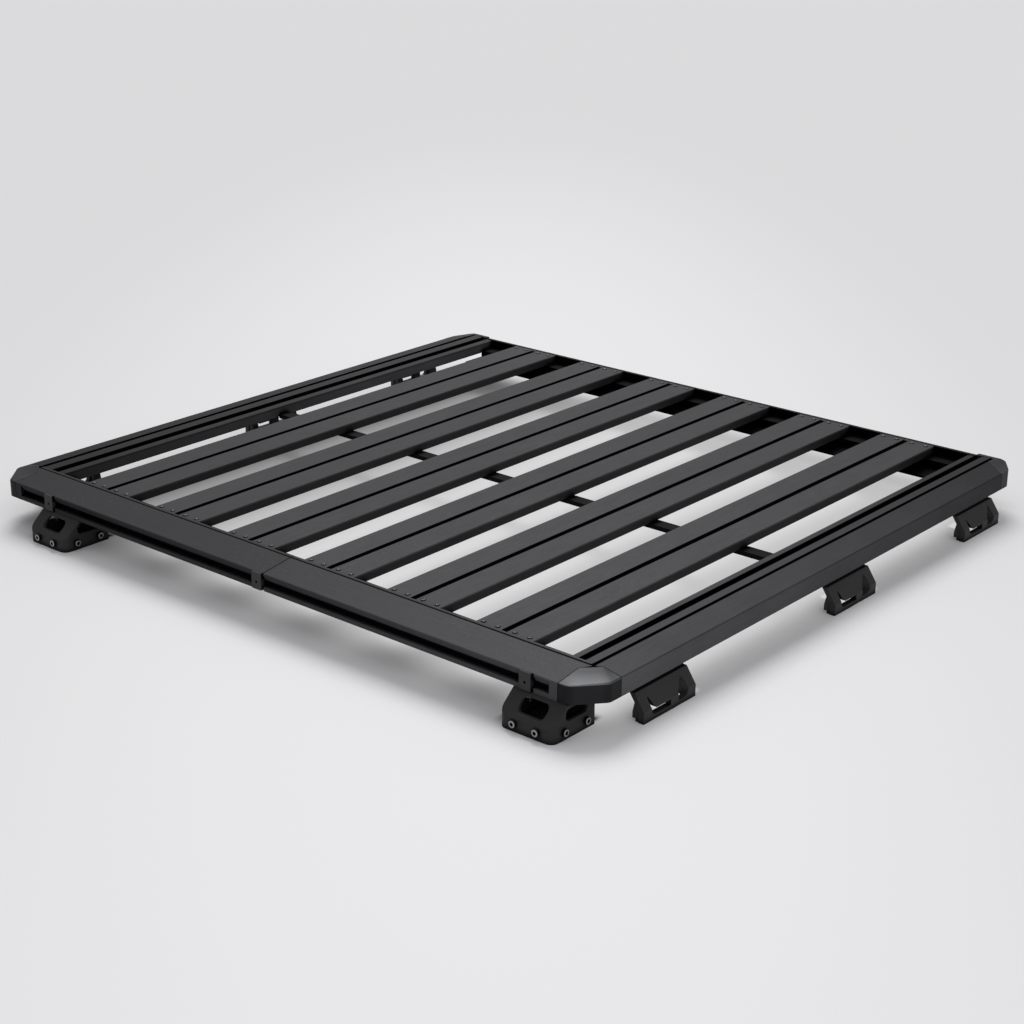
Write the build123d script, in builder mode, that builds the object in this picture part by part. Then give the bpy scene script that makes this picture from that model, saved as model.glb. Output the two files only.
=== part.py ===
"""Flat platform roof rack: six slotted planks in a rim of extruded rails and cast corners, on clamp feet.

Millimetres, +Z up. X runs along the front rail, Y along the planks, and the front faces -Y.
The origin is on the floor under the middle of the overall box.
"""
import os

from build123d import *

# Frame, outside to outside, and its levels over the floor
frame_width = 1328.0
frame_length = 1224.0
foot_height = 49.5
frame_depth = 33.5
crest_rise = 3.9
edge_round = 2.0
fit = 0.3

# Planks, running front to rear
plank_count = 6
plank_width = 110.0
plank_depth = 16.0
plank_wall = 2.5
plank_edge = 1.2
plank_mouth = 10.0
plank_cavity = 20.0

# Side rails: a hollow outer box with a slotted shelf on its inner side
side_rail_width = 92.0
side_slope_run = 40.8
side_drop = 3.4
shelf_drop = 1.5
shelf_height = 19.7
rail_wall = 3.0
shelf_lip = 13.0
shelf_mouth = 14.0
shelf_cavity = 24.0
shelf_cavity_height = 11.0
groove_width = 6.5
groove_depth = 8.0

# Front rail: a sloped nose over a slotted face, with a ledge for the planks
seam_offset = 20.0
nose_run = 60.4
nose_strip = 7.0
nose_drop = 5.0
nose_line = 2.0
front_ledge = 35.0
face_lip = 7.0
face_mouth = 10.6
face_cove = 4.5
face_wall = 6.0
face_cavity = 17.0
face_cavity_depth = 10.0
face_end = 15.0

# Rear rail: an upright wall with a ledge and a wide bottom flange
rear_wall = 10.0
rear_ledge = 34.0
rear_flange = 95.0
rear_flange_depth = 4.0
rear_round = 4.0

# Corner castings
casting_width = 56.0
casting_length = 70.0
casting_chamfer_x = 39.0
casting_chamfer_y = 45.0
casting_round = 14.0
casting_blend = 60.0
casting_sink = 1.6
casting_seam = 0.4
casting_wall = 5.0
casting_pocket = 20.0
rear_casting_width = 76.0
rear_casting_length = 59.0
rear_casting_crest = 32.0
rear_casting_rise = 1.8
rear_chamfer_x = 24.0
rear_chamfer_y = 33.0

# Bar under the middle of the planks
bar_width = 24.0
bar_depth = 8.0
bar_offset = -12.0

# Clips over the slot of the front rail, each beside an upright slit
clip_width = 21.0
clip_proud = 2.0
clip_hole = 4.5
clip_round = 1.5
clip_slit = 4.0
clip_slit_depth = 8.0
left_clip_inset = 94.0
right_clip_inset = 57.0

# Side feet: a leaning plate with a window round a tongue, and a block behind each end
front_leg_inset = 162.0
rear_leg_inset = 152.0
middle_leg_offset = 45.0
leg_length = 122.0
leg_wall = 4.0
leg_flange = 36.0
leg_reveal = 6.0
leg_lean_run = 17.0
leg_skirt = 18.5
leg_sole = 16.0
leg_rib = 4.5
leg_bulge = 4.5
leg_bulge_height = 14.0
leg_neck = 30.0
leg_step = 1.5
window_length = 86.0
window_top = 12.0
window_bottom = 7.5
window_round = 9.0
tongue_front = 34.0
tongue_rear = 14.0
tongue_bottom = 16.5
tongue_front_slant = 0.4
tongue_rear_slant = 1.2
tongue_round = 6.0
bridge_front = 2.0
bridge_rear = 20.0
base_hole = 8.5
base_hole_depth = 14.0

# Front feet: hollow boxes with a leaning front
left_foot_inset = 180.5
right_foot_inset = 85.5
end_foot_width = 97.0
end_foot_overhang = 33.0
end_foot_depth = 92.0
end_foot_skirt = 20.0
end_foot_round = 13.0
end_foot_wall = 5.0
end_window_length = 48.0
end_window_bottom = 26.0
end_window_round = 8.0

# Levels and stations that follow from the sizes above
frame_z = foot_height
plank_z = frame_z + frame_depth
crest_z = plank_z + crest_rise
ledge_z = plank_z - plank_depth
side_bend_z = plank_z - side_drop
nose_bend_z = plank_z - nose_drop
lip_z = plank_z - shelf_drop
shelf_z = lip_z - shelf_height
outer_x = frame_width / 2
crest_x = outer_x - side_slope_run
inner_x = outer_x - side_rail_width
casting_x = outer_x - casting_width
rear_casting_x = outer_x - rear_casting_width
mid_y = end_foot_overhang / 2
front_y = mid_y - frame_length / 2
rear_y = mid_y + frame_length / 2
nose_crest_y = front_y + nose_run
front_join_y = nose_crest_y + nose_strip
front_ledge_y = front_join_y + front_ledge
casting_y = front_y + casting_length
rear_join_y = rear_y - rear_wall
rear_casting_y = rear_y - rear_casting_length
rear_crest_y = rear_y - rear_casting_crest
plank_gap = (2 * inner_x - plank_count * plank_width) / (plank_count + 1)
plank_pitch = plank_width + plank_gap
plank_front_y = front_join_y + fit
plank_rear_y = rear_join_y - fit
side_slope = (crest_z - side_bend_z) / side_slope_run
nose_slope = (crest_z - nose_bend_z) / nose_run

os.makedirs("parts", exist_ok=True)


def section(side, y):
    """Plane across the planks at y: first axis outward on the given side, second axis up."""
    return Plane((0, y, 0), x_dir=(side, 0, 0), z_dir=(0, -side, 0))


def save(builder, name):
    builder.part.label = name
    export_step(builder.part, f"parts/{name}.step")


def box(x0, x1, z0, z1, mode=Mode.ADD):
    """Rectangle between two corners of the current sketch, given in any order."""
    with Locations(((x0 + x1) / 2, (z0 + z1) / 2)):
        Rectangle(abs(x1 - x0), abs(z1 - z0), mode=mode)


def outline(points, mode=Mode.ADD):
    """Straight-sided face through points of the current sketch."""
    Polygon(*points, align=None, mode=mode)


def front_casting_plan(side):
    """A front casting from above: chamfered outside, and cut inside on the diagonal through the crest."""
    outline((
        (side * casting_x, front_y), (side * (outer_x - casting_chamfer_x), front_y),
        (side * outer_x, front_y + casting_chamfer_y), (side * outer_x, casting_y),
        (side * (crest_x + casting_y - nose_crest_y), casting_y),
        (side * casting_x, nose_crest_y - crest_x + casting_x),
    ))


def rear_casting_plan(side):
    """A rear casting from above: a short arm along the rear wall and a chamfered corner."""
    outline((
        (side * rear_casting_x, rear_join_y), (side * rear_casting_x, rear_y),
        (side * (outer_x - rear_chamfer_x), rear_y), (side * outer_x, rear_y - rear_chamfer_y),
        (side * outer_x, rear_casting_y), (side * crest_x, rear_crest_y), (side * crest_x, rear_join_y),
    ))


# Planks: a flat hollow extrusion with a T-slot along the middle of its top
chamber_in = plank_cavity / 2 + plank_wall
chamber_out = plank_width / 2 - plank_wall
cavity_low = ledge_z + plank_wall
cavity_high = plank_z - plank_wall
for i in range(plank_count):
    x = (i - (plank_count - 1) / 2) * plank_pitch
    with BuildPart() as plank:
        with BuildSketch(section(1, (plank_front_y + plank_rear_y) / 2)) as profile:
            box(x - plank_width / 2, x + plank_width / 2, ledge_z, plank_z)
            fillet(profile.vertices(), plank_edge)
            box(x - plank_mouth / 2, x + plank_mouth / 2, cavity_high, plank_z, Mode.SUBTRACT)
            box(x - plank_cavity / 2, x + plank_cavity / 2, cavity_low, cavity_high, Mode.SUBTRACT)
            box(x - chamber_out, x - chamber_in, cavity_low, cavity_high, Mode.SUBTRACT)
            box(x + chamber_in, x + chamber_out, cavity_low, cavity_high, Mode.SUBTRACT)
        extrude(amount=(plank_rear_y - plank_front_y) / 2, both=True)
    save(plank, f"plank_{i + 1}")

# Side rails: the shelf rises to a crest, and the outer face slopes away from it
mouth_in = inner_x + shelf_lip
mouth_out = mouth_in + shelf_mouth
cavity_mid = (mouth_in + mouth_out) / 2
shelf_cavity_z = shelf_z + rail_wall
groove_in = crest_x - groove_width
groove_z = crest_z - groove_depth
for side, name in ((-1, "left_side_rail"), (1, "right_side_rail")):
    with BuildPart() as side_rail:
        with BuildSketch(section(side, (nose_crest_y + rear_join_y) / 2)) as profile:
            outline((
                (inner_x, shelf_z), (inner_x, lip_z), (crest_x, crest_z), (outer_x, side_bend_z),
                (outer_x, frame_z), (crest_x, frame_z), (crest_x, shelf_z),
            ))
            fillet(profile.vertices().sort_by_distance((outer_x, side_bend_z, 0))[0], edge_round)
            outline((
                (crest_x + rail_wall, frame_z + rail_wall), (outer_x - rail_wall, frame_z + rail_wall),
                (outer_x - rail_wall, side_bend_z + (side_slope - 1) * rail_wall),
                (crest_x + rail_wall, crest_z - (side_slope + 1) * rail_wall),
            ), Mode.SUBTRACT)
            box(mouth_in, mouth_out, shelf_cavity_z, crest_z, Mode.SUBTRACT)
            box(
                cavity_mid - shelf_cavity / 2, cavity_mid + shelf_cavity / 2,
                shelf_cavity_z, shelf_cavity_z + shelf_cavity_height, Mode.SUBTRACT,
            )
            box(groove_in, crest_x, groove_z, crest_z, Mode.SUBTRACT)
        extrude(amount=(rear_join_y - nose_crest_y) / 2, both=True)
        with BuildSketch(Plane.XY.offset(frame_z)):
            front_casting_plan(side)
            rear_casting_plan(side)
            offset(amount=casting_seam, kind=Kind.INTERSECTION)
            box(side * inner_x, side * crest_x, nose_crest_y, front_join_y)
            box(side * (outer_x - rear_chamfer_x), side * outer_x, rear_y - rear_chamfer_y, rear_y)
        extrude(amount=crest_z - frame_z, mode=Mode.SUBTRACT)
    save(side_rail, name)

# Front rail in two halves: the slot in its face stops short of the corner castings
face_z = frame_z + face_lip
face_top = face_z + face_mouth
face_mid = face_z + face_mouth / 2
nose_back = front_y + face_wall + face_cavity_depth + rail_wall
nose_ceiling = nose_bend_z - rail_wall * (1 + nose_slope)
clip_x = (
    left_clip_inset - casting_x, seam_offset - (clip_slit + clip_width) / 2, casting_x - right_clip_inset,
)
for side, name in ((-1, "front_rail_left"), (1, "front_rail_right")):
    rail_end = side * crest_x
    ledge_end = side * inner_x
    slot_end = side * (casting_x - face_end)
    with BuildPart() as front_rail:
        with BuildSketch(Plane.YZ.offset((seam_offset + rail_end) / 2)) as profile:
            outline((
                (front_y, frame_z), (front_y, nose_bend_z), (nose_crest_y, crest_z),
                (front_join_y, crest_z), (front_join_y, frame_z),
            ))
            fillet(profile.vertices().sort_by_distance((front_y, nose_bend_z, 0))[0], edge_round)
            box(
                front_y + face_wall, front_y + face_wall + face_cavity_depth,
                face_mid - face_cavity / 2, face_mid + face_cavity / 2, Mode.SUBTRACT,
            )
            outline((
                (nose_back, frame_z + rail_wall), (front_join_y - rail_wall, frame_z + rail_wall),
                (front_join_y - rail_wall, crest_z - 2 * rail_wall), (nose_crest_y, crest_z - 2 * rail_wall),
                (nose_back, nose_ceiling + (nose_back - front_y) * nose_slope),
            ), Mode.SUBTRACT)
            box(
                nose_crest_y - nose_line / 2, nose_crest_y + nose_line / 2,
                crest_z - nose_line, crest_z, Mode.SUBTRACT,
            )
        extrude(amount=abs(rail_end - seam_offset) / 2, both=True)
        with BuildSketch(Plane.YZ.offset((seam_offset + ledge_end) / 2)):
            box(front_join_y, front_ledge_y, frame_z, ledge_z)
            box(
                front_join_y + rail_wall, front_ledge_y - rail_wall,
                frame_z + rail_wall, ledge_z - rail_wall, Mode.SUBTRACT,
            )
        extrude(amount=abs(ledge_end - seam_offset) / 2, both=True)
        with BuildSketch(Plane.YZ.offset((seam_offset + slot_end) / 2)):
            box(front_y, front_y + face_wall, face_z, face_top)
            outline(((front_y, nose_bend_z - edge_round), (front_y + face_cove, face_top), (front_y, face_top)))
        extrude(amount=abs(slot_end - seam_offset) / 2, both=True, mode=Mode.SUBTRACT)
        with BuildSketch(section(1, front_y)):
            for x in clip_x:
                box(x + clip_width / 2, x + clip_width / 2 + clip_slit, frame_z, nose_bend_z)
        extrude(amount=-clip_slit_depth, mode=Mode.SUBTRACT)
        with BuildSketch(Plane.XY.offset(frame_z)):
            front_casting_plan(side)
            offset(amount=casting_seam, kind=Kind.INTERSECTION)
        extrude(amount=crest_z - frame_z, mode=Mode.SUBTRACT)
        with BuildSketch(Plane.XY.offset(groove_z)):
            box(side * groove_in, side * crest_x, nose_crest_y, front_join_y)
        extrude(amount=groove_depth, mode=Mode.SUBTRACT)
    save(front_rail, name)

# Rear rail: its wall closes the plank ends, its flange stiffens the open side
with BuildPart() as rear_rail:
    with BuildSketch(Plane.YZ) as profile:
        box(rear_join_y, rear_y, frame_z, plank_z)
        fillet(profile.vertices().sort_by_distance((rear_y, plank_z, 0))[0], rear_round)
        box(rear_join_y + rail_wall, rear_y - rail_wall, frame_z + rail_wall, plank_z - 2 * rail_wall,
            Mode.SUBTRACT)
    extrude(amount=rear_casting_x - casting_seam, both=True)
    with BuildSketch(Plane.YZ):
        box(rear_join_y - rear_ledge, rear_join_y, frame_z, ledge_z)
        box(rear_y - rear_flange, rear_join_y - rear_ledge, frame_z, frame_z + rear_flange_depth)
        box(
            rear_join_y - rear_ledge + rail_wall, rear_join_y - rail_wall,
            frame_z + rail_wall, ledge_z - rail_wall, Mode.SUBTRACT,
        )
    extrude(amount=inner_x, both=True)
save(rear_rail, "rear_rail")

# Front corner castings: nose and side slopes blend into a facet that ends a little under the crest
rim_low = nose_bend_z - edge_round
rim_high = side_bend_z + edge_round / 2
for side, name in ((-1, "front_left_corner"), (1, "front_right_corner")):
    with BuildPart() as corner:
        with BuildSketch(Plane.XY.offset(frame_z)):
            front_casting_plan(side)
        extrude(amount=crest_z - frame_z)
        front_edge = Vector(side * (outer_x - casting_chamfer_x), front_y, nose_bend_z)
        side_edge = Vector(side * outer_x, front_y + casting_chamfer_y, side_bend_z)
        peak = Vector(side * crest_x, nose_crest_y, crest_z)
        facet = (side_edge - front_edge).cross(peak - Vector(0, 0, casting_sink) - front_edge) * side
        split(bisect_by=Plane(peak, z_dir=(0, -nose_slope, 1)), keep=Keep.BOTTOM)
        split(bisect_by=Plane(peak, z_dir=(side * side_slope, 0, 1)), keep=Keep.BOTTOM)
        split(bisect_by=Plane(front_edge, z_dir=facet), keep=Keep.BOTTOM)
        facet_face = corner.faces().filter_by(Plane(front_edge, z_dir=facet))[0]
        fillet(facet_face.edges().sort_by(Axis.Z)[1:3], casting_blend)
        corner_edges = corner.edges().filter_by(Axis.Z).sort_by_distance((side * outer_x, front_y, frame_z))
        fillet(corner_edges[:2], casting_round)
        fillet(corner.edges().filter_by_position(Axis.Z, rim_low, rim_high), edge_round)
        with BuildSketch(Plane.XY.offset(frame_z)):
            front_casting_plan(side)
            offset(amount=-casting_wall, kind=Kind.INTERSECTION)
        extrude(amount=casting_pocket, mode=Mode.SUBTRACT)
    save(corner, name)

# Rear corner castings: the side slope turns round to the rear wall
rear_slope = (crest_z - plank_z - rear_casting_rise) / rear_casting_crest
for side, name in ((-1, "rear_left_corner"), (1, "rear_right_corner")):
    with BuildPart() as corner:
        with BuildSketch(Plane.XY.offset(frame_z)) as plan:
            rear_casting_plan(side)
            fillet(plan.vertices().sort_by_distance((side * outer_x, rear_y, 0))[:2], casting_round)
        extrude(amount=crest_z - frame_z)
        rear_edge = Vector(side * (outer_x - rear_chamfer_x), rear_y, plank_z)
        side_edge = Vector(side * outer_x, rear_y - rear_chamfer_y, side_bend_z)
        peak = Vector(side * crest_x, rear_crest_y, crest_z)
        facet = (rear_edge - side_edge).cross(peak - side_edge) * side
        split(bisect_by=Plane(peak, z_dir=(0, rear_slope, 1)), keep=Keep.BOTTOM)
        split(bisect_by=Plane(peak, z_dir=(side * side_slope, 0, 1)), keep=Keep.BOTTOM)
        split(bisect_by=Plane(peak, z_dir=facet), keep=Keep.BOTTOM)
        with BuildSketch(Plane.XY.offset(frame_z)):
            outline((
                (side * (crest_x + casting_wall), rear_crest_y), (side * (crest_x + casting_wall), rear_join_y),
                (side * (outer_x - rear_chamfer_x), rear_join_y),
                (side * (outer_x - casting_wall), rear_y - rear_chamfer_y),
                (side * (outer_x - casting_wall), rear_casting_y + casting_wall),
            ))
        extrude(amount=casting_pocket, mode=Mode.SUBTRACT)
    save(corner, name)

# Flat bar under the planks, from shelf to shelf
with BuildPart() as centre_bar:
    with BuildSketch(Plane.YZ):
        with Locations((mid_y + bar_offset, ledge_z - bar_depth / 2)):
            Rectangle(bar_width, bar_depth)
    extrude(amount=inner_x, both=True)
save(centre_bar, "centre_bar")

# Clips: a plate over the slot with a key that fills its mouth
for x, name in zip(clip_x, ("left_clip", "middle_clip", "right_clip")):
    with BuildPart() as clip:
        with BuildSketch(section(1, front_y)) as plate:
            box(x - clip_width / 2, x + clip_width / 2, frame_z, nose_bend_z)
            fillet(plate.vertices(), clip_round)
        extrude(amount=clip_proud)
        with BuildSketch(section(1, front_y)):
            box(x - clip_width / 2, x + clip_width / 2, face_z + fit, face_top - fit)
        extrude(amount=-face_wall)
        with BuildSketch(section(1, front_y)):
            with Locations((x, face_mid)):
                Circle(clip_hole / 2)
        extrude(amount=face_wall + clip_proud, both=True, mode=Mode.SUBTRACT)
    save(clip, name)

# Side feet: a flange under the rail's outer box holds a leaning plate, cut free round a tongue with a short bridge
web_x = outer_x - leg_reveal
web_in = web_x - leg_wall
plate_z = frame_z - leg_reveal
flange_x = outer_x - leg_flange
flange_z = frame_z - leg_wall
skirt_x = outer_x + leg_lean_run
skirt_in = skirt_x - leg_reveal - leg_wall
sole_x = skirt_x - leg_sole
bulge_x = outer_x - leg_bulge
neck_x = skirt_in - leg_lean_run * (leg_neck - leg_skirt) / (plate_z - leg_skirt)
window_z = frame_z - window_top
tongue_rise = plate_z - tongue_bottom
post_length = (leg_length - window_length) / 2
post_y = (leg_length - post_length) / 2
leg_y = (front_y + front_leg_inset, mid_y + middle_leg_offset, rear_y - rear_leg_inset)
for side, hand in ((-1, "left"), (1, "right")):
    for y, place in zip(leg_y, ("front", "middle", "rear")):
        with BuildPart() as leg:
            with BuildSketch(section(side, y)):
                outline((
                    (flange_x, frame_z), (web_x, frame_z), (web_x, plate_z), (outer_x, plate_z),
                    (skirt_x, leg_skirt), (skirt_x, 0), (skirt_in, 0), (skirt_in, leg_skirt),
                    (web_in, plate_z), (web_in, flange_z), (flange_x, flange_z),
                ))
            extrude(amount=leg_length / 2, both=True)
            with BuildSketch(Plane.YZ.offset(side * skirt_x)) as window:
                box(y - window_length / 2, y + window_length / 2, window_bottom, window_z)
                fillet(window.vertices(), window_round)
                with BuildLine():
                    FilletPolyline(
                        (y - tongue_front - tongue_front_slant * tongue_rise, plate_z),
                        (y - tongue_front, tongue_bottom), (y + tongue_rear, tongue_bottom),
                        (y + tongue_rear + tongue_rear_slant * tongue_rise, plate_z),
                        radius=tongue_round, close=True,
                    )
                make_face(mode=Mode.SUBTRACT)
                box(y + bridge_front, y + bridge_rear, window_bottom, tongue_bottom + tongue_round, Mode.SUBTRACT)
            extrude(amount=-side * (skirt_x - web_in), mode=Mode.SUBTRACT)
            with BuildSketch(section(side, y - post_y), section(side, y + post_y)):
                outline((
                    (neck_x, leg_neck), (skirt_in, leg_skirt), (skirt_in, 0), (sole_x, 0), (sole_x, leg_rib),
                    (bulge_x, leg_rib), (bulge_x, leg_bulge_height),
                ))
            extrude(amount=post_length / 2 - leg_step, both=True)
            with BuildSketch(Plane.XY):
                with Locations((side * (skirt_x + sole_x) / 2, y)):
                    with GridLocations(0, 2 * post_y, 1, 2):
                        Circle(base_hole / 2)
            extrude(amount=base_hole_depth, mode=Mode.SUBTRACT)
        save(leg, f"{hand}_{place}_foot")

# Front feet: a hollow box under the front rail, its front face leaning out to a short skirt
lean_drop = frame_z - end_foot_skirt
toe_y = front_y - end_foot_overhang
cheek_y = toe_y + (end_foot_round + end_foot_depth) / 2
end_window_height = frame_z - end_foot_wall - end_window_bottom
end_foot_x = (left_foot_inset - outer_x, outer_x - right_foot_inset)
for x, name in zip(end_foot_x, ("front_left_foot", "front_right_foot")):
    with BuildPart() as foot:
        with BuildSketch(Plane.XY) as plan:
            box(x - end_foot_width / 2, x + end_foot_width / 2, toe_y, toe_y + end_foot_depth)
            fillet(plan.vertices().group_by(Axis.Y)[0], end_foot_round)
        extrude(amount=frame_z)
        split(bisect_by=Plane((x, front_y, frame_z), z_dir=(0, -lean_drop, end_foot_overhang)),
              keep=Keep.BOTTOM)
        offset(amount=-end_foot_wall, openings=foot.faces().sort_by(Axis.Z)[0], kind=Kind.INTERSECTION)
        with BuildSketch(section(1, toe_y)):
            with Locations((x, end_window_bottom + end_window_height / 2)):
                RectangleRounded(end_window_length, end_window_height, end_window_round)
        extrude(amount=-(end_foot_overhang + end_foot_wall), mode=Mode.SUBTRACT)
        with BuildSketch(Plane.YZ.offset(x)):
            with Locations((cheek_y, end_window_bottom + end_window_height / 2)):
                RectangleRounded(end_window_length, end_window_height, end_window_round)
        extrude(amount=end_foot_width / 2, both=True, mode=Mode.SUBTRACT)
    save(foot, name)
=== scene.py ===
import math

import bpy
from mathutils import Matrix, Vector


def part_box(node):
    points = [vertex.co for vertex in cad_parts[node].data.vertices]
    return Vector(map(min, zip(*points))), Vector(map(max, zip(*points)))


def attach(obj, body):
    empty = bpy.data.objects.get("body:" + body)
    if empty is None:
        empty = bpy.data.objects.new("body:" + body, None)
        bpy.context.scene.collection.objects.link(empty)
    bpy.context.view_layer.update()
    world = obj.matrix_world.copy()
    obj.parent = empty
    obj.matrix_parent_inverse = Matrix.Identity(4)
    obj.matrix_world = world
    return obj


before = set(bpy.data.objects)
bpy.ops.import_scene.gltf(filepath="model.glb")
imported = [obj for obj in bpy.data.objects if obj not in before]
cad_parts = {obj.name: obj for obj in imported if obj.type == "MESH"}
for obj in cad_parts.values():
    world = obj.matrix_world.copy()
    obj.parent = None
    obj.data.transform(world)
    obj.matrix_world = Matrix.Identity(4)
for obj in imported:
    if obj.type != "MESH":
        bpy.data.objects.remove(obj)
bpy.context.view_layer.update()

# Planks: six flat aluminium extrusions with a T-slot along the top, laid front to rear and screwed to the
# rails' ledges. They are powder coated in fine-textured black. Painted shade turns the slots black, lays a
# black line at each sawn end and darkens the lower sides; each plank's tone, lighter towards the right, and
# its change from front to rear are painted light.


def make_powder_coat():
    """Shader group for baked powder coat: pebbled grain, soft clouds of tone, dust on top, painted edge
    highlights, painted shade in recesses.
    """
    coat = bpy.data.node_groups.new("powder_coat", "ShaderNodeTree")
    face = coat.interface
    face.new_socket("Tint", in_out="INPUT", socket_type="NodeSocketColor")
    for name, value in (
        ("Roughness", 0.5), ("Grain Scale", 900.0), ("Grain Height", 0.25), ("Cloud", 0.10), ("Dust", 0.2),
        ("Edge Light", 0.25), ("Edge Round", 0.0010), ("Recess", 0.95), ("Recess Reach", 0.016),
        ("Streak", 0.0),
    ):
        face.new_socket(name, in_out="INPUT", socket_type="NodeSocketFloat").default_value = value
    run = face.new_socket("Streak Run", in_out="INPUT", socket_type="NodeSocketVector")
    run.default_value = (260.0, 22.0, 260.0)
    face.new_socket("Color", in_out="OUTPUT", socket_type="NodeSocketColor")
    face.new_socket("Roughness", in_out="OUTPUT", socket_type="NodeSocketFloat")
    face.new_socket("Normal", in_out="OUTPUT", socket_type="NodeSocketVector")
    nodes, links = coat.nodes, coat.links
    given = nodes.new("NodeGroupInput").outputs
    out = nodes.new("NodeGroupOutput").inputs
    place = nodes.new("ShaderNodeTexCoord").outputs["Object"]
    surface = nodes.new("ShaderNodeNewGeometry").outputs["Normal"]

    def feed(socket, value):
        if isinstance(value, (int, float)):
            socket.default_value = value
        else:
            links.new(value, socket)

    def noise(scale, detail, roughness=0.5, spot=place):
        node = nodes.new("ShaderNodeTexNoise")
        links.new(spot, node.inputs["Vector"])
        feed(node.inputs["Scale"], scale)
        feed(node.inputs["Detail"], detail)
        feed(node.inputs["Roughness"], roughness)
        return node.outputs["Fac"]

    def maths(operation, a, b, clamp=False):
        node = nodes.new("ShaderNodeMath")
        node.operation = operation
        node.use_clamp = clamp
        feed(node.inputs[0], a)
        feed(node.inputs[1], b)
        return node.outputs[0]

    def ranged(value, low, high, to_low, to_high):
        node = nodes.new("ShaderNodeMapRange")
        for socket, number in zip(node.inputs, (value, low, high, to_low, to_high)):
            feed(socket, number)
        return node.outputs[0]

    # Painted highlight: the tone is lifted at edges, where the rounded normal leaves the true one.
    rounded = nodes.new("ShaderNodeBevel")
    rounded.samples = 6
    links.new(given["Edge Round"], rounded.inputs["Radius"])
    turn = nodes.new("ShaderNodeVectorMath")
    turn.operation = "DOT_PRODUCT"
    links.new(rounded.outputs["Normal"], turn.inputs[0])
    links.new(surface, turn.inputs[1])
    edge = ranged(turn.outputs["Value"], 0.995, 0.80, 0.0, 1.0)

    # Painted shade: where ambient occlusion finds the surface hemmed in, the tone goes to black.
    hollow = nodes.new("ShaderNodeAmbientOcclusion")
    hollow.samples = 8
    links.new(given["Recess Reach"], hollow.inputs["Distance"])
    recess_shade = maths("MULTIPLY", ranged(hollow.outputs["AO"], 0.92, 0.58, 0.0, 1.0), given["Recess"])

    drawn = nodes.new("ShaderNodeVectorMath")
    drawn.operation = "MULTIPLY"
    links.new(place, drawn.inputs[0])
    links.new(given["Streak Run"], drawn.inputs[1])
    streak = ranged(noise(1.0, 3.0, 0.6, drawn.outputs["Vector"]), 0.3, 0.7, -1.0, 1.0)
    grain = noise(given["Grain Scale"], 2.0)
    cloud = ranged(noise(11.0, 3.0, 0.55), 0.3, 0.7, -1.0, 1.0)
    fleck = ranged(noise(420.0, 1.0), 0.64, 0.76, 0.0, 1.0)
    patch = ranged(noise(6.0, 2.0), 0.40, 0.65, 0.0, 1.0)
    facing = nodes.new("ShaderNodeSeparateXYZ")
    links.new(surface, facing.inputs[0])
    lying = ranged(facing.outputs["Z"], 0.7, 0.98, 0.0, 1.0)
    dust = maths("MULTIPLY", maths("MULTIPLY", fleck, patch), maths("MULTIPLY", lying, given["Dust"]))

    tone = maths("ADD", 1.0, maths("MULTIPLY", cloud, given["Cloud"]))
    tone = maths("ADD", tone, maths("MULTIPLY", streak, given["Streak"]))
    tone = maths("ADD", tone, maths("MULTIPLY", edge, given["Edge Light"]))
    tone = maths("ADD", tone, ranged(grain, 0.3, 0.7, -0.08, 0.08))
    tone = maths("MULTIPLY", tone, maths("SUBTRACT", 1.0, recess_shade))
    shade = nodes.new("ShaderNodeVectorMath")
    shade.operation = "SCALE"
    links.new(given["Tint"], shade.inputs[0])
    links.new(tone, shade.inputs["Scale"])
    dusty = nodes.new("ShaderNodeMix")
    dusty.data_type = "RGBA"
    clean, laid = (socket for socket in dusty.inputs if socket.type == "RGBA")
    laid.default_value = (0.32, 0.31, 0.30, 1.0)
    links.new(dust, dusty.inputs[0])
    links.new(shade.outputs["Vector"], clean)
    links.new(next(socket for socket in dusty.outputs if socket.type == "RGBA"), out["Color"])

    rough = maths("ADD", given["Roughness"], maths("MULTIPLY", cloud, 0.03))
    rough = maths("ADD", rough, maths("MULTIPLY", recess_shade, 0.4))
    links.new(maths("ADD", rough, maths("MULTIPLY", dust, 0.3), clamp=True), out["Roughness"])

    bump = nodes.new("ShaderNodeBump")
    bump.inputs["Distance"].default_value = 0.0002
    links.new(given["Grain Height"], bump.inputs["Strength"])
    links.new(grain, bump.inputs["Height"])
    links.new(rounded.outputs["Normal"], bump.inputs["Normal"])
    links.new(bump.outputs["Normal"], out["Normal"])
    return coat


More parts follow.
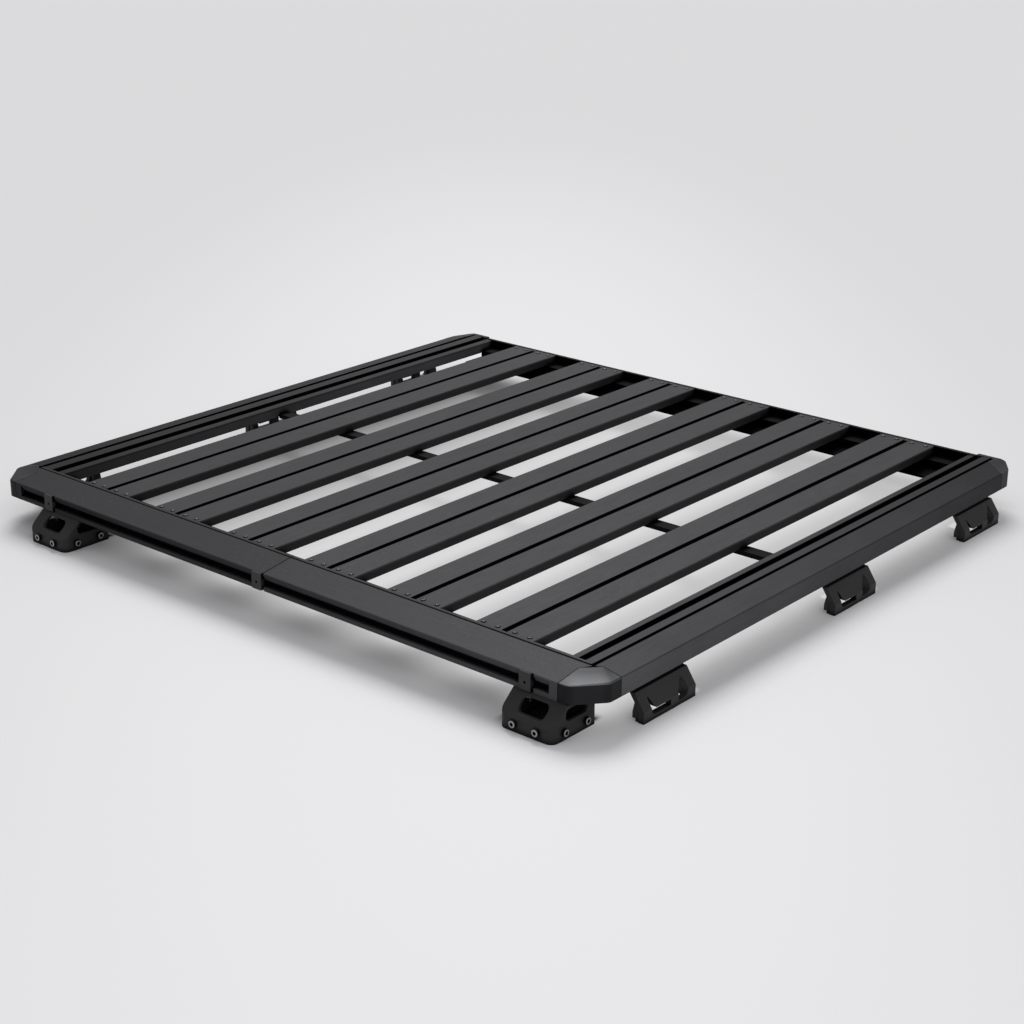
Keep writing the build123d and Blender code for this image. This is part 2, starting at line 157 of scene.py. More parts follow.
def make_band_shade():
    """Shader group for painted light and shade: scales a colour by its distance from a plane, one factor near
    it, another far off.
    """
    shade = bpy.data.node_groups.new("band_shade", "ShaderNodeTree")
    shade.interface.new_socket("Color", in_out="INPUT", socket_type="NodeSocketColor")
    shade.interface.new_socket("Along", in_out="INPUT", socket_type="NodeSocketVector")
    for name in ("Middle", "Near", "Far", "At Near", "At Far"):
        shade.interface.new_socket(name, in_out="INPUT", socket_type="NodeSocketFloat")
    shade.interface.new_socket("Color", in_out="OUTPUT", socket_type="NodeSocketColor")
    nodes, links = shade.nodes, shade.links
    given = nodes.new("NodeGroupInput").outputs
    out = nodes.new("NodeGroupOutput").inputs
    travel = nodes.new("ShaderNodeVectorMath")
    travel.operation = "DOT_PRODUCT"
    links.new(nodes.new("ShaderNodeTexCoord").outputs["Object"], travel.inputs[0])
    links.new(given["Along"], travel.inputs[1])
    offset = nodes.new("ShaderNodeMath")
    offset.operation = "SUBTRACT"
    links.new(travel.outputs["Value"], offset.inputs[0])
    links.new(given["Middle"], offset.inputs[1])
    distance = nodes.new("ShaderNodeMath")
    distance.operation = "ABSOLUTE"
    links.new(offset.outputs[0], distance.inputs[0])
    factor = nodes.new("ShaderNodeMapRange")
    links.new(distance.outputs[0], factor.inputs["Value"])
    for name, target in (
        ("Near", "From Min"), ("Far", "From Max"), ("At Near", "To Min"), ("At Far", "To Max"),
    ):
        links.new(given[name], factor.inputs[target])
    scaled = nodes.new("ShaderNodeVectorMath")
    scaled.operation = "SCALE"
    links.new(given["Color"], scaled.inputs[0])
    links.new(factor.outputs[0], scaled.inputs["Scale"])
    links.new(scaled.outputs["Vector"], out["Color"])
    return shade


powder_coat = make_powder_coat()
band_shade = make_band_shade()


def grey(value, blue=1.0):
    """Grey of a given strength, with its blue turned up or down."""
    return (value, value, value * blue, 1.0)


across, lengthwise, upward = (1.0, 0.0, 0.0), (0.0, 1.0, 0.0), (0.0, 0.0, 1.0)


def painted_shade_band(along, middle, half, fade=0.0008):
    """Band of painted shade, black to a half width on both sides of a plane."""
    return (along, middle, half, half + fade, 0.0, 1.0)


def gradient(along, start, end, at_start, at_end):
    """Even change of tone from one plane to another, used for painted light."""
    return (along, start, 0.0, end - start, at_start, at_end)


def coat_material(name, tint, gloss, bands=(), **values):
    """Material of one coated piece: the shared coat with the piece's own values, with painted light and shade
    laid on across its bands.
    """
    material = bpy.data.materials.new(name)
    material.use_nodes = True
    nodes, links = material.node_tree.nodes, material.node_tree.links
    shader = nodes["Principled BSDF"]
    shader.inputs["Specular IOR Level"].default_value = gloss
    coat = nodes.new("ShaderNodeGroup")
    coat.node_tree = powder_coat
    coat.inputs["Tint"].default_value = tint
    for socket, value in values.items():
        coat.inputs[socket.replace("_", " ").title()].default_value = value
    color = coat.outputs["Color"]
    for band in bands:
        toned = nodes.new("ShaderNodeGroup")
        toned.node_tree = band_shade
        links.new(color, toned.inputs["Color"])
        for socket, value in zip(("Along", "Middle", "Near", "Far", "At Near", "At Far"), band):
            toned.inputs[socket].default_value = value
        color = toned.outputs["Color"]
    links.new(color, shader.inputs["Base Color"])
    links.new(coat.outputs["Roughness"], shader.inputs["Roughness"])
    links.new(coat.outputs["Normal"], shader.inputs["Normal"])
    return material


def finish_nodes(material, *names):
    """Gives CAD nodes their finish."""
    for name in names:
        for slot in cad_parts[name].material_slots:
            slot.material = material


plank_names = [f"plank_{i + 1}" for i in range(6)]
plank_low, plank_high = (Vector(corner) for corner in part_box("plank_1"))
slot_half, saw_line = 0.0053, 0.0010
side_dark_to, side_light_from, side_tone = 0.0125, 0.0150, 0.35
front_tone_left, front_tone_step = 0.0385, 0.0048
rear_tone_left, rear_tone_step = 0.0515, -0.0018
# Painted shade: a black line along the joint at each sawn end, and darker lower sides.
sawn_end_shade = (painted_shade_band(lengthwise, plank_low.y, saw_line), painted_shade_band(lengthwise, plank_high.y, saw_line))
shaded_sides = (upward, plank_low.z, side_dark_to, side_light_from, side_tone, 1.0)
for i, name in enumerate(plank_names):
    # Painted light: each plank's tone steps up from left to right and changes evenly from front to rear.
    front_tone = front_tone_left + front_tone_step * i
    rear_tone = rear_tone_left + rear_tone_step * i
    low, high = (Vector(corner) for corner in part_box(name))
    # Painted shade: a black band over the slot, a little wider than its mouth.
    bands = (
        *sawn_end_shade, shaded_sides, painted_shade_band(across, (low.x + high.x) / 2, slot_half),
        gradient(lengthwise, low.y, high.y, 1.0, rear_tone / front_tone),
    )
    plank_coat = coat_material(
        f"{name}_coat", grey(front_tone, blue=1.05), gloss=0.06, bands=bands,
        roughness=0.60, dust=0.30, edge_light=0.35, edge_round=0.0016, streak=0.11,
    )
    finish_nodes(plank_coat, name)

# Slot plugs: moulded black end caps pushed into both ends of each plank's slot, flush with the top.
# A block is modelled once, rounded along its upper edges, and copied to every end.


def select_only(piece):
    """Selects one piece and nothing else."""
    bpy.ops.object.select_all(action="DESELECT")
    piece.select_set(True)
    bpy.context.view_layer.objects.active = piece


def pick_faces(piece, rule):
    """Selects the faces for which the rule holds, and leaves the piece in edit mode."""
    select_only(piece)
    bpy.ops.object.mode_set(mode="EDIT")
    bpy.ops.mesh.select_mode(type="FACE")
    bpy.ops.mesh.select_all(action="DESELECT")
    bpy.ops.object.mode_set(mode="OBJECT")
    for face in piece.data.polygons:
        face.select = rule(face)
    bpy.ops.object.mode_set(mode="EDIT")


def settle(piece):
    """Ends the modelling of a piece: object mode, place in the mesh, flat faces kept flat."""
    bpy.ops.object.mode_set(mode="OBJECT")
    select_only(piece)
    bpy.ops.object.transform_apply(location=True, rotation=True, scale=True)
    bpy.ops.object.shade_smooth_by_angle(angle=math.radians(35.0))


def set_out(pattern, name, moves):
    """Copies a pattern piece to each place, joins the copies into one named piece and mounts it."""
    copies = []
    for move in moves:
        twin = pattern.copy()
        twin.data = pattern.data.copy()
        twin.data.transform(move)
        bpy.context.collection.objects.link(twin)
        copies.append(twin)
    select_only(copies[0])
    for twin in copies[1:]:
        twin.select_set(True)
    bpy.ops.object.join()
    piece = bpy.context.object
    piece.name = name
    piece.data.name = name
    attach(piece, "root")


plug_length, plug_width, plug_height, plug_edge = 0.0060, 0.0098, 0.0022, 0.0004
bpy.ops.object.select_all(action="DESELECT")
bpy.ops.mesh.primitive_cube_add(size=1.0, location=(0.0, 0.0, -plug_height / 2))
plug = bpy.context.object
plug.scale = (plug_width, plug_length, plug_height)
bpy.ops.object.transform_apply(location=False, rotation=False, scale=True)
pick_faces(plug, lambda face: face.normal.z > 0.9)
bpy.ops.mesh.bevel(offset=plug_edge, segments=2, affect="EDGES")
settle(plug)
# The plugs carry the painted shade lines of the plank ends and painted shade in their recesses.
plug_black = coat_material(
    "plug_black", grey(0.040, blue=1.02), gloss=0.16, bands=sawn_end_shade, roughness=0.55, dust=0.1, recess=0.6,
)
plug.data.materials.append(plug_black)
for name in plank_names:
    low, high = (Vector(corner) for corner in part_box(name))
    middle = (low.x + high.x) / 2
    ends = (low.y + plug_length / 2, high.y - plug_length / 2)
    set_out(plug, f"{name}_slot_plugs", [Matrix.Translation((middle, y, high.z)) for y in ends])
bpy.data.objects.remove(plug)

# Plank screws: four low button heads across each end of a plank, into the ledge below.
# A short cylinder is drawn in to a dome, and a small socket is sunk in its top; the steel is dull zinc.


def make_zinc(name, tone, roughness, bloom_depth=0.08):
    """Material for plated steel: metal with a fine cloudy change of gloss."""
    material = bpy.data.materials.new(name)
    material.use_nodes = True
    nodes, links = material.node_tree.nodes, material.node_tree.links
    shader = nodes["Principled BSDF"]
    shader.inputs["Metallic"].default_value = 1.0
    shader.inputs["Base Color"].default_value = grey(tone, blue=1.02)
    bloom = nodes.new("ShaderNodeTexNoise")
    bloom.inputs["Scale"].default_value = 700.0
    links.new(nodes.new("ShaderNodeTexCoord").outputs["Object"], bloom.inputs["Vector"])
    gloss = nodes.new("ShaderNodeMapRange")
    gloss.inputs["To Min"].default_value = roughness - bloom_depth
    gloss.inputs["To Max"].default_value = roughness + bloom_depth
    links.new(bloom.outputs["Fac"], gloss.inputs["Value"])
    links.new(gloss.outputs[0], shader.inputs["Roughness"])
    return material


screw_radius, screw_rise, screw_socket = 0.0034, 0.0012, 0.0012
bpy.ops.object.select_all(action="DESELECT")
bpy.ops.mesh.primitive_cylinder_add(vertices=24, radius=screw_radius, depth=screw_rise,
                                    location=(0.0, 0.0, screw_rise / 2))
screw = bpy.context.object
pick_faces(screw, lambda face: face.normal.z > 0.9)
bpy.ops.mesh.inset(thickness=0.0009, depth=0.0006)
bpy.ops.mesh.inset(thickness=0.0008, depth=0.0002)
bpy.ops.mesh.inset(thickness=0.0003, depth=0.0)
bpy.ops.mesh.extrude_region_move(TRANSFORM_OT_translate={"value": (0.0, 0.0, -screw_socket)})
settle(screw)
screw_zinc = make_zinc("screw_zinc", tone=0.075, roughness=0.42)
screw.data.materials.append(screw_zinc)
screw_inset, screw_places = 0.012, (-0.044, -0.016, 0.016, 0.044)
for name in plank_names:
    low, high = (Vector(corner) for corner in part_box(name))
    middle = (low.x + high.x) / 2
    set_out(screw, f"{name}_screws", [
        Matrix.Translation((middle + place, y, high.z))
        for y in (low.y + screw_inset, high.y - screw_inset) for place in screw_places
    ])
bpy.data.objects.remove(screw)

# Side rails: hollow aluminium extrusions in the same black coat, cut at both ends to the corner castings.
# Painted shade turns the slot and groove of the shelf and the joints at both ends black, and runs a fine dark
# line where the slope meets the upright face; the upright face is painted a touch lighter as painted light,
# and each rail's tone changes from front to rear as painted light.


def tone_step(low, high, at_low, at_high):
    """Change of tone between two heights, used for painted light."""
    return (upward, 0.0, low, high, at_low, at_high)


shelf_slot_x, shelf_slot_half, groove_x, groove_half = 0.5920, 0.0074, 0.61995, 0.0037
side_bend, rail_end_line = 0.0796, 0.0014
upright_below, slope_below, upright_gain = 0.0020, 0.0004, 1.22
crease_drop, crease_half, crease_end, crease_tone = 0.0012, 0.0005, 0.0010, 0.60
upright_face_light = tone_step(side_bend - upright_below, side_bend - slope_below, upright_gain, 1.0)
bend_shade = (upward, side_bend - crease_drop, crease_half, crease_end, crease_tone, 1.0)
# Painted shade lines at the rail ends, over the shelf's slot and groove and along the bend; painted light on
# the upright face and from front to rear.
for name, hand, front_tone, rear_tone in (
    ("left_side_rail", -1, 0.022, 0.050), ("right_side_rail", 1, 0.068, 0.026),
):
    low, high = (Vector(corner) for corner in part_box(name))
    bands = (
        painted_shade_band(lengthwise, low.y, rail_end_line), painted_shade_band(lengthwise, high.y, rail_end_line),
        painted_shade_band(across, hand * shelf_slot_x, shelf_slot_half),
        painted_shade_band(across, hand * groove_x, groove_half),
        gradient(lengthwise, low.y, high.y, 1.0, rear_tone / front_tone), upright_face_light, bend_shade,
    )
    rail_coat = coat_material(
        f"{name}_coat", grey(front_tone, blue=1.05), gloss=0.03, bands=bands,
        roughness=0.62, dust=0.15, edge_light=0.35, edge_round=0.0016, streak=0.07,
    )
    finish_nodes(rail_coat, name)

# Front rail: two lengths of one extrusion that meet at a seam right of the middle. Painted light makes each
# length lighter towards the right and the left length darker than the right one, and painted shade lines mark
# both ends. A slot for T-nuts runs along the face, and a painted shade line darkens a fine groove along the
# crest.
crest_groove_y, crest_shade_half, front_end_line = -0.5341, 0.0020, 0.0012
for name, left_tone, right_tone in (("front_rail_left", 0.022, 0.029), ("front_rail_right", 0.034, 0.060)):
    low, high = (Vector(corner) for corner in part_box(name))
    # Painted shade lines at the ends and along the crest; painted light rising towards the right.
    bands = (
        painted_shade_band(across, low.x, front_end_line), painted_shade_band(across, high.x, front_end_line),
        gradient(across, low.x, high.x, 1.0, right_tone / left_tone),
        painted_shade_band(lengthwise, crest_groove_y, crest_shade_half),
    )
    front_coat = coat_material(
        f"{name}_coat", grey(left_tone, blue=1.08), gloss=0.07, bands=bands,
        roughness=0.58, dust=0.15, streak=0.08, streak_run=(22.0, 260.0, 260.0),
    )
    finish_nodes(front_coat, name)

# Rear rail and middle bar: extrusion and flat bar under the planks, screwed up into them from below. Below
# the deck they are painted nearly black as painted shade: the bar all over, and the rear rail on its ledge in
# front of the wall and deep in its recesses.
rear_face = Vector(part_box("rear_rail")[1]).y
# Painted shade: the rear rail's ledge goes nearly black away from its wall.
wall_light_to, ledge_dark_from, ledge_tone = 0.009, 0.011, 0.12
ledge_shade = (lengthwise, rear_face, wall_light_to, ledge_dark_from, 1.0, ledge_tone)
rear_coat = coat_material(
    "rear_coat", grey(0.016, blue=1.05), gloss=0.03, bands=(ledge_shade,),
    roughness=0.60, dust=0.0, recess=1.0, recess_reach=0.10,
)
finish_nodes(rear_coat, "rear_rail")
bar_coat = coat_material("bar_coat", grey(0.005), gloss=0.03, roughness=0.60, dust=0.0)
finish_nodes(bar_coat, "centre_bar")

# Corner castings: die-cast aluminium, tumbled smooth before coating, so they shine more than the rails. Each
# is plugged into two rails and screwed from inside. A painted highlight runs along the rim, strongest on the
# facet of the front right one, the front facets carry a painted sheen that fades towards their ends, and
# painted shade lines mark the seams with the rails.
rim_low, rim_high, rim_end = 0.0768, 0.0778, 0.0835
chamfer_x, chamfer_y, chamfer_middle = 0.655, 0.756, -0.0111
facet_full, facet_end, facet_end_tone, seam_line = 0.018, 0.034, 0.4, 0.0010
cool_sheen = (0.95, 0.97, 1.0, 1.0)
for name, hand, rim_highlight in (
    ("front_left_corner", -1, 2.0), ("front_right_corner", 1, 10.0),
    ("rear_left_corner", -1, 2.0), ("rear_right_corner", 1, 2.0),
):
    low, high = (Vector(corner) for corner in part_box(name))
    inner_end = low.x if hand > 0 else high.x
    rail_end = high.y if name.startswith("front") else low.y
    # Painted shade lines at the seams, a painted highlight along the rim, painted sheen fading along the
    # front facets, strong painted edge highlights.
    bands = [
        painted_shade_band(across, inner_end, seam_line), painted_shade_band(lengthwise, rail_end, seam_line),
        tone_step(rim_low, rim_high, 1.0, rim_highlight), tone_step(rim_high, rim_end, 1.0, 1.0 / rim_highlight),
    ]
    if name.startswith("front"):
        chamfer = (hand * chamfer_x, chamfer_y, 0.0)
        bands.append((chamfer, chamfer_middle, facet_full, facet_end, 1.0, facet_end_tone))
    casting_coat = coat_material(
        f"{name}_coat", grey(0.016, blue=1.08), gloss=0.10, bands=bands, roughness=0.38, grain_scale=700.0,
        grain_height=0.15, cloud=0.06, dust=0.1, edge_light=2.0, edge_round=0.0016, recess=0.5,
    )
    casting_coat.node_tree.nodes["Principled BSDF"].inputs["Specular Tint"].default_value = cool_sheen
    finish_nodes(casting_coat, name)

# Clips: folded black plates over the slot in the front rail, each with a key in the slot's mouth.
# They are held by a grub screw behind their hole, and have a smoother coat than the rail.
clip_coat = coat_material(
    "clip_coat", grey(0.038, blue=1.02), gloss=0.14, roughness=0.5, dust=0.0, edge_round=0.0006,
)
finish_nodes(clip_coat, "left_clip", "middle_clip", "right_clip")

# Side feet: cast aluminium legs, each a leaning plate with a window round a tongue, in a dead black coat.
# They are bolted up into the side rails from below.
foot_coat = coat_material(
    "foot_coat", grey(0.025), gloss=0.20, roughness=0.50, cloud=0.12, dust=0.0, edge_round=0.0018,
    recess_reach=0.012,
)
feet = [f"{hand}_{place}_foot" for hand in ("left", "right") for place in ("front", "middle", "rear")]
finish_nodes(foot_coat, *feet)

# Front feet: cast aluminium boxes, open at the windows, in the same dead black coat.
# They are clamped under the front rail by studs that hang in its slot.
front_feet = ("front_left_foot", "front_right_foot")
end_foot_coat = coat_material(
    "end_foot_coat", grey(0.019), gloss=0.20, roughness=0.48, cloud=0.12, dust=0.0, edge_round=0.0025,
    recess_reach=0.012,
)
finish_nodes(end_foot_coat, *front_feet)

# Foot bolts: socket-head cap screws in bright zinc, two in the toe and two in each cheek of a front foot. A
# cylinder gets a rounded rim, and a hexagonal socket is cut into its end; socket and sides get painted shade,
# black.
head_radius, head_height, head_rim, socket_radius, socket_depth = 0.0055, 0.0050, 0.0007, 0.0033, 0.0040
bpy.ops.object.select_all(action="DESELECT")
bpy.ops.mesh.primitive_cylinder_add(vertices=40, radius=head_radius, depth=head_height,
                                    location=(0.0, -head_height / 2, 0.0), rotation=(math.pi / 2, 0.0, 0.0))
cap_screw = bpy.context.object
bpy.ops.object.transform_apply(location=True, rotation=True, scale=True)
pick_faces(cap_screw, lambda face: face.normal.y < -0.9)
bpy.ops.mesh.bevel(offset=head_rim, segments=3, affect="EDGES")
settle(cap_screw)
bpy.ops.object.select_all(action="DESELECT")
bpy.ops.mesh.primitive_cylinder_add(vertices=6, radius=socket_radius, depth=2 * socket_depth,
                                    location=(0.0, -head_height, 0.0), rotation=(math.pi / 2, 0.0, 0.0))
socket = bpy.context.object
select_only(cap_screw)
cut = cap_screw.modifiers.new("socket", "BOOLEAN")
cut.operation = "DIFFERENCE"
cut.solver = "EXACT"
cut.object = socket
bpy.ops.object.modifier_apply(modifier="socket")
bpy.data.objects.remove(socket)
settle(cap_screw)
bright_zinc = make_zinc("bright_zinc", tone=0.32, roughness=0.34)
head_shade = coat_material("head_shade", grey(0.006), gloss=0.10, roughness=0.60, dust=0.0)
cap_screw.data.materials.append(bright_zinc)
cap_screw.data.materials.append(head_shade)
# Painted shade: every face but the zinc end face takes the black material.
for face in cap_screw.data.polygons:
    bright = face.normal.y < -0.3 and face.center.y < -0.8 * head_height
    face.material_index = 0 if bright else 1
bolt_height, toe_pitch, cheek_pitch, cheek_set_back = 0.0130, 0.0410, 0.0480, 0.0490
for name in front_feet:
    low, high = (Vector(corner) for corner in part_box(name))
    middle = (low.x + high.x) / 2
    moves = [Matrix.Translation((middle + half * toe_pitch / 2, low.y, bolt_height)) for half in (-1, 1)]
    for x, turn in ((low.x, -math.pi / 2), (high.x, math.pi / 2)):
        for half in (-1, 1):
            y = low.y + cheek_set_back + half * cheek_pitch / 2
            moves.append(Matrix.Translation((x, y, bolt_height)) @ Matrix.Rotation(turn, 4, "Z"))
    set_out(cap_screw, f"{name}_bolts", moves)
bpy.data.objects.remove(cap_screw)

# Clamp bolts: the zinc-plated studs that hang from the front rail's slot into each front foot, with washer
# and hex nut under the foot's ceiling. Washer, nut and stud end are each eased at the edges, then joined.
stud_radius, stud_drop, stud_edge = 0.0040, 0.0070, 0.0008
nut_radius, nut_height, nut_edge = 0.0075, 0.0065, 0.0008
washer_radius, washer_height, washer_edge = 0.0085, 0.0014, 0.0003
foot_ceiling, clamp_pitch, clamp_set_back = 0.0445, 0.0540, 0.0100
bpy.ops.object.select_all(action="DESELECT")
bpy.ops.mesh.primitive_cylinder_add(vertices=24, radius=washer_radius, depth=washer_height,
                                    location=(0.0, 0.0, -washer_height / 2))
washer = bpy.context.object
pick_faces(washer, lambda face: abs(face.normal.z) > 0.9)
bpy.ops.mesh.bevel(offset=washer_edge, segments=1, affect="EDGES")
settle(washer)
bpy.ops.object.select_all(action="DESELECT")
bpy.ops.mesh.primitive_cylinder_add(vertices=6, radius=nut_radius, depth=nut_height,
                                    location=(0.0, 0.0, -washer_height - nut_height / 2))
nut = bpy.context.object
pick_faces(nut, lambda face: face.normal.z < -0.9)
bpy.ops.mesh.bevel(offset=nut_edge, segments=1, affect="EDGES")
settle(nut)
bpy.ops.object.select_all(action="DESELECT")
stud_top = -washer_height - nut_height
bpy.ops.mesh.primitive_cylinder_add(vertices=20, radius=stud_radius, depth=stud_drop,
                                    location=(0.0, 0.0, stud_top - stud_drop / 2))
stud = bpy.context.object
pick_faces(stud, lambda face: face.normal.z < -0.9)
bpy.ops.mesh.bevel(offset=stud_edge, segments=2, affect="EDGES")
settle(stud)
select_only(stud)
washer.select_set(True)
nut.select_set(True)
bpy.ops.object.join()
stud.data.materials.append(bright_zinc)
clamp_y = Vector(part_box("front_rail_left")[0]).y + clamp_set_back
for name in front_feet:
    low, high = (Vector(corner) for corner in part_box(name))
    middle = (low.x + high.x) / 2
    set_out(stud, f"{name}_clamp_bolts", [
        Matrix.Translation((middle + half * clamp_pitch / 2, clamp_y, foot_ceiling)) for half in (-1, 1)
    ])
bpy.data.objects.remove(stud)

# Floor: a seamless sweep of pale grey studio paper, far wider than the view. A painted pool of light makes
# its tone fall off gently all round. Under the deck the paper gets painted shade, deepest under the front
# feet, and a painted glow that keeps it bright there and behind the windows of the right feet; the glow ends
# inside the frame, in step with the planks at the front.
sheet_size, paper_tone, paper_roughness, paper_gloss = 80.0, 0.755, 0.95, 0.1
bpy.ops.object.select_all(action="DESELECT")
bpy.ops.mesh.primitive_plane_add(size=sheet_size, location=(0.0, 0.0, 0.0))
floor = bpy.context.object
floor.name = "floor"
paper = bpy.data.materials.new("studio_paper")
paper.use_nodes = True
nodes, links = paper.node_tree.nodes, paper.node_tree.links
shader = nodes["Principled BSDF"]
shader.inputs["Roughness"].default_value = paper_roughness
shader.inputs["Specular IOR Level"].default_value = paper_gloss
spot = nodes.new("ShaderNodeTexCoord").outputs["Object"]


def reach(direction):
    """Distance from the middle of the sheet along one direction."""
    node = nodes.new("ShaderNodeVectorMath")
    node.operation = "DOT_PRODUCT"
    node.inputs[1].default_value = direction
    links.new(spot, node.inputs[0])
    return node.outputs["Value"]


def ramp(distance, start, end, height=1.0):
    """Value that rises softly from nothing at start to its height at end."""
    node = nodes.new("ShaderNodeMapRange")
    node.interpolation_type = "SMOOTHSTEP"
    links.new(distance, node.inputs["Value"])
    for name, value in (("From Min", start), ("From Max", end), ("To Min", 0.0), ("To Max", height)):
        node.inputs[name].default_value = value
    return node.outputs[0]


def work_out(operation, *values):
    """Value worked out from one or two others; a number stands for itself."""
    node = nodes.new("ShaderNodeMath")
    node.operation = operation
    for socket, value in zip(node.inputs, values):
        if isinstance(value, float):
            socket.default_value = value
        else:
            links.new(value, socket)
    return node.outputs[0]


def product(first, *others):
    """All the given values multiplied."""
    for other in others:
        first = work_out("MULTIPLY", first, other)
    return first


def inside(right, left, back, front):
    """Mask of a patch of floor, from a ramp's start and end on each of its four sides."""
    return product(
        ramp(reach(to_right), *right), ramp(reach(to_left), *left),
        ramp(reach(to_back), *back), ramp(reach(to_front), *front),
    )


to_right, to_left, to_back, to_front = (1.0, 0.0, 0.0), (-1.0, 0.0, 0.0), (0.0, 1.0, 0.0), (0.0, -1.0, 0.0)
plank_pitch, wave = 0.17914, 0.010
right_edge, front_edge = (-0.688, -0.604), (-0.620, -0.486)
# Painted shade under the deck and the front feet darkens the paper's colour; a painted glow lights it under
# the deck and behind the right feet.
shelter_left, shelter_rear, shelter_loss = (-0.66, -0.58), (-0.66, -0.60), 0.60
glow_left, glow_rear, glow_strength = (-0.72, -0.05), (-0.66, -0.57), 0.50
roofed_loss, behind_gain = 1.6, 1.25
beat = work_out("COSINE", work_out("MULTIPLY", reach(to_right), 2 * math.pi / plank_pitch))
waved = work_out("ADD", reach(to_back), work_out("MULTIPLY", beat, wave))
deck = product(ramp(reach(to_left), *right_edge), ramp(waved, *front_edge))
shelter = product(deck, ramp(reach(to_right), *shelter_left), ramp(reach(to_front), *shelter_rear))
glow = product(deck, ramp(reach(to_right), *glow_left), ramp(reach(to_front), *glow_rear))
for name in front_feet:
    low, high = (Vector(corner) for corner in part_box(name))
    roofed = inside(
        right=(low.x - 0.025, low.x - 0.010), left=(-high.x, -high.x + 0.01),
        back=(low.y + 0.004, low.y + 0.040), front=(-high.y - 0.03, -high.y - 0.01),
    )
    glow = product(glow, work_out("SUBTRACT", 1.0, roofed))
    shelter = work_out("MAXIMUM", shelter, product(roofed, roofed_loss))
for name in ("right_front_foot", "right_middle_foot", "right_rear_foot"):
    low, high = (Vector(corner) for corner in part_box(name))
    behind = inside(
        right=(low.x - 0.03, low.x), left=(-high.x, -high.x + 0.02),
        back=(low.y + 0.035, low.y + 0.055), front=(-high.y - 0.03, -high.y - 0.01),
    )
    glow = work_out("MAXIMUM", glow, product(behind, behind_gain))
# Painted pool of light: the paper's tone falls off with distance from the middle.
pool_across, pool_along = (0.759, 0.651, 0.0), (-0.186, 0.217, 0.0)
pool_start, pool_end, pool_loss = 0.15, 1.30, 0.15
aside, away = reach(pool_across), reach(pool_along)
radius = work_out("SQRT", work_out("ADD", product(aside, aside), product(away, away)))
lit_share = work_out("SUBTRACT", 1.0, ramp(radius, pool_start, pool_end, pool_loss))
open_share = work_out("SUBTRACT", 1.0, product(shelter, shelter_loss))
links.new(product(lit_share, open_share, paper_tone), shader.inputs["Base Color"])
links.new(glow, shader.inputs["Emission Color"])
shader.inputs["Emission Strength"].default_value = glow_strength
from_below = nodes.new("ShaderNodeMixShader")
links.new(nodes.new("ShaderNodeNewGeometry").outputs["Backfacing"], from_below.inputs[0])
links.new(shader.outputs["BSDF"], from_below.inputs[1])
links.new(nodes.new("ShaderNodeBsdfTransparent").outputs["BSDF"], from_below.inputs[2])
links.new(from_below.outputs["Shader"], nodes["Material Output"].inputs["Surface"])
floor.data.materials.append(paper)

# Light: a white room that is dimmer near the horizon, with a backdrop as pale as the paper, and a soft box
# far off behind and to the left, which shines down through the gaps and is mirrored in the corner facets.
# A wall on the right and a weak card fill in from there.
dim_below, full_above, horizon, overhead = 0.15, 0.80, 0.25, 0.64
wall_side, wall_start, wall_full, wall_gain = (0.95, -0.30, 0.0), 0.40, 0.95, 0.30
backdrop_tone = 0.70
world = bpy.data.worlds.new("white_room")
world.use_nodes = True
room, room_links = world.node_tree.nodes, world.node_tree.links
room_place = room.new("ShaderNodeTexCoord").outputs["Generated"]


def room_ramp(distance, start, end, at_start, at_end):
    """Soft change of the room's brightness between two heights or directions."""
    node = room.new("ShaderNodeMapRange")
    node.interpolation_type = "SMOOTHSTEP"
    room_links.new(distance, node.inputs["Value"])
    for name, value in (("From Min", start), ("From Max", end), ("To Min", at_start), ("To Max", at_end)):
        node.inputs[name].default_value = value
    return node.outputs[0]


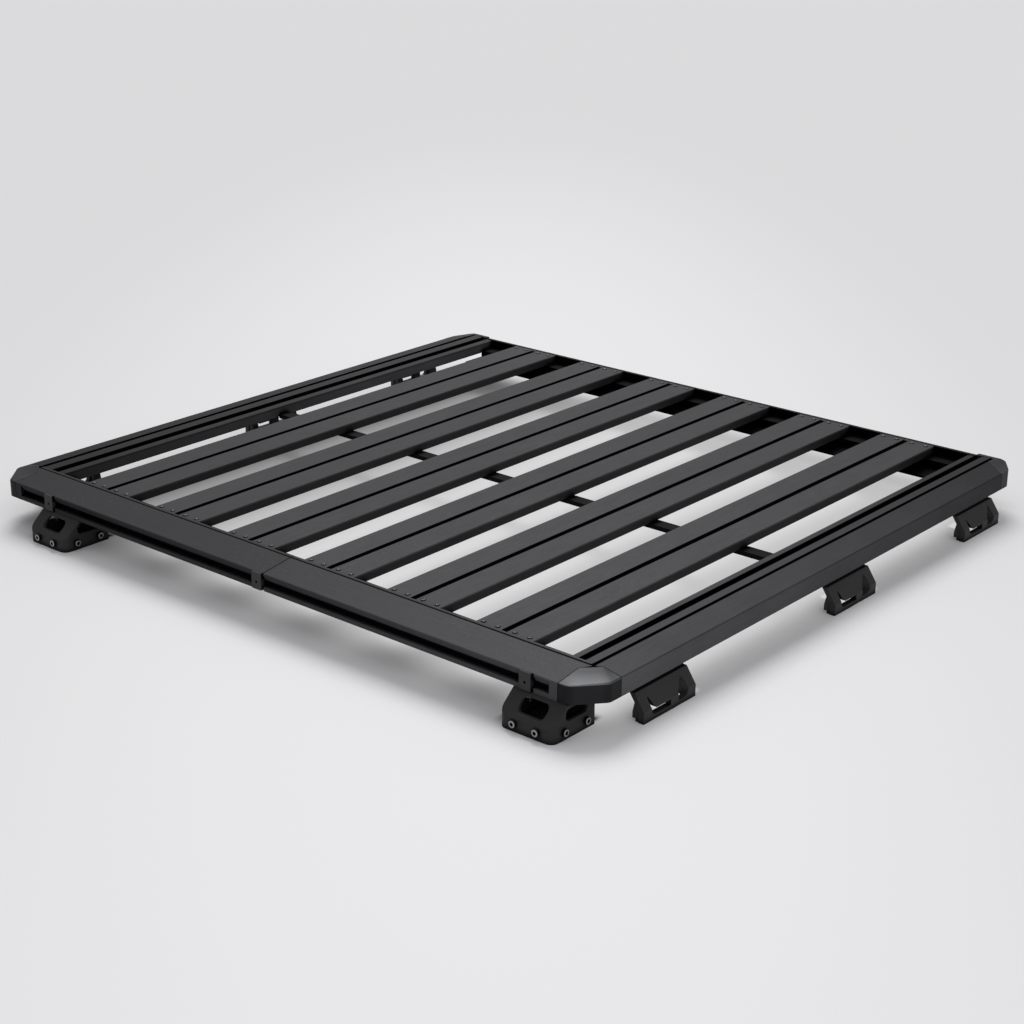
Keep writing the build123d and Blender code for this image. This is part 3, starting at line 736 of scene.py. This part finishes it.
aim = room.new("ShaderNodeSeparateXYZ")
room_links.new(room_place, aim.inputs[0])
toward = room.new("ShaderNodeVectorMath")
toward.operation = "DOT_PRODUCT"
toward.inputs[1].default_value = wall_side
room_links.new(room_place, toward.inputs[0])
lit = room.new("ShaderNodeMath")
room_links.new(room_ramp(aim.outputs["Z"], dim_below, full_above, horizon, overhead), lit.inputs[0])
room_links.new(room_ramp(toward.outputs["Value"], wall_start, wall_full, 0.0, wall_gain), lit.inputs[1])
backdrop = room.new("ShaderNodeMix")
room_links.new(room.new("ShaderNodeLightPath").outputs["Is Camera Ray"], backdrop.inputs["Factor"])
room_links.new(lit.outputs[0], backdrop.inputs["A"])
backdrop.inputs["B"].default_value = backdrop_tone
room_links.new(backdrop.outputs["Result"], room["Background"].inputs["Strength"])
room["Background"].inputs["Color"].default_value = grey(1.0, blue=1.03)
bpy.context.scene.world = world


def far_lamp(name, energy, width, travel):
    """Distant lamp of an apparent width in degrees, whose light travels along a direction."""
    data = bpy.data.lights.new(name, "SUN")
    data.energy = energy
    data.angle = math.radians(width)
    lamp = bpy.data.objects.new(name, data)
    bpy.context.collection.objects.link(lamp)
    lamp.matrix_world = Vector(travel).to_track_quat("-Z", "Y").to_matrix().to_4x4()


far_lamp("soft_box", energy=1.97, width=30.0, travel=(0.45, -0.50, -0.76))
far_lamp("fill_card", energy=0.40, width=70.0, travel=(-0.90, 0.20, -0.35))

# Camera: at the photograph's place and angle, without shift or depth of field.
# Its three directions and its place come from a fit to the photograph.
lens = bpy.data.cameras.new("camera")
lens.lens = 69.08
lens.sensor_width = 36.0
lens.sensor_fit = "HORIZONTAL"
lens.clip_end = 200.0
camera = bpy.data.objects.new("camera", lens)
bpy.context.collection.objects.link(camera)
eye = Vector((2.12837, -2.46910, 1.24028))
right = Vector((0.75902, 0.65106, 0.0035))
upright = Vector((-0.23323, 0.26688, 0.93508))
forward = Vector((-0.60786, 0.71056, -0.35441))
turned = Matrix((right, upright, -forward)).transposed().to_4x4()
camera.matrix_world = Matrix.Translation(eye) @ turned
bpy.context.scene.camera = camera
bpy.context.scene.view_settings.view_transform = "Standard"
